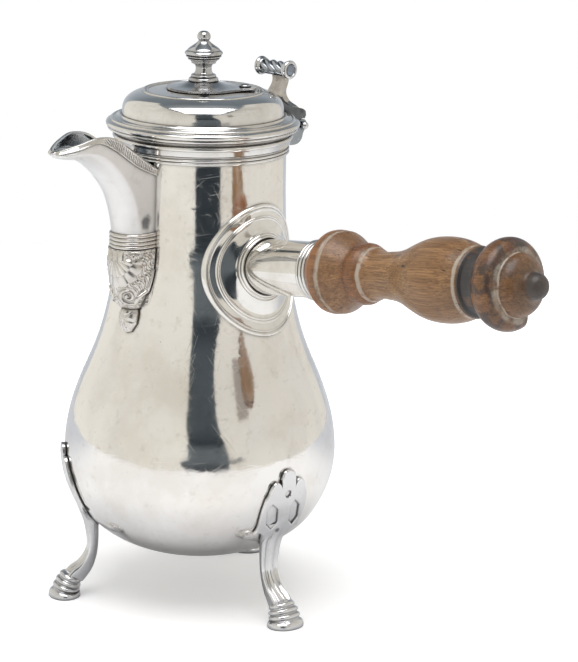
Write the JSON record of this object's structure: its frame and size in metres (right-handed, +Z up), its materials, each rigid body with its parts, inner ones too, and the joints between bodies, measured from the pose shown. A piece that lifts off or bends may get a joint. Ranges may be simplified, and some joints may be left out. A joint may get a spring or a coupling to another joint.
{
  "type": "side-handled chocolate pot",
  "caption": "Pear-shaped silver chocolate pot on hoof feet, with a ribbed lip spout, a turned wooden side handle, a hinged domed lid and a finial that swings aside from the whisk hole.",
  "frame": {"origin": "on the table, at the middle of the circle the three feet stand on, under the vessel's axis", "axes": "+Z up along the vessel's axis, -X towards the spout, -Y towards the side handle, +X towards the lid hinge"},
  "size_m": [0.1397, 0.2422, 0.24],
  "materials": {
    "silver": "polished, with fine old scratches and darker recesses",
    "silver_spout": "soft polish, paler than the body",
    "fruitwood": "turned and waxed, dirt in the grooves, orange-brown on the edges of the beads"
  },
  "bodies": {
    "pot": {"body_shell": "silver", "neck_rim": "silver", "spout_body": "silver_spout", "spout_border_front": "silver_spout", "spout_border_back": "silver_spout", "spout_collar": "silver", "shell_ornament": "silver", "scroll_front": "silver", "scroll_back": "silver", "leaf_drop": "silver", "handle_socket": "silver", "socket_ring": "silver", "handle_plate": "silver", "wood_handle": "fruitwood", "leg_front": "silver", "leg_left": "silver", "leg_rear": "silver", "hinge_bracket": "silver", "hinge_pin": "silver"},
    "lid": {"lid_dome": "silver", "lid_moulding": "silver", "lid_bezel": "silver", "lid_crown_wire": "silver", "hinge_leaf": "silver", "thumb_stem": "silver", "thumb_roll": "silver", "thumb_disc_front": "silver", "thumb_disc_back": "silver", "swivel_washer": "silver", "swivel_rivet": "silver"},
    "finial": {"swing_plate": "silver", "finial_stem": "silver", "finial_knop": "silver"}
  },
  "joints": [
    {"name": "lid_hinge", "type": "hinge", "parent": "pot", "child": "lid", "pos_m": [0.0452, 0, 0.1978], "axis": [0, 1, 0], "range_deg": [0, 110]},
    {"name": "finial_swivel", "type": "hinge", "parent": "lid", "child": "finial", "pos_m": [0.01243, -0.01159, 0.217], "axis": [0, 0, 1], "range_deg": [0, 110]}
  ]
}
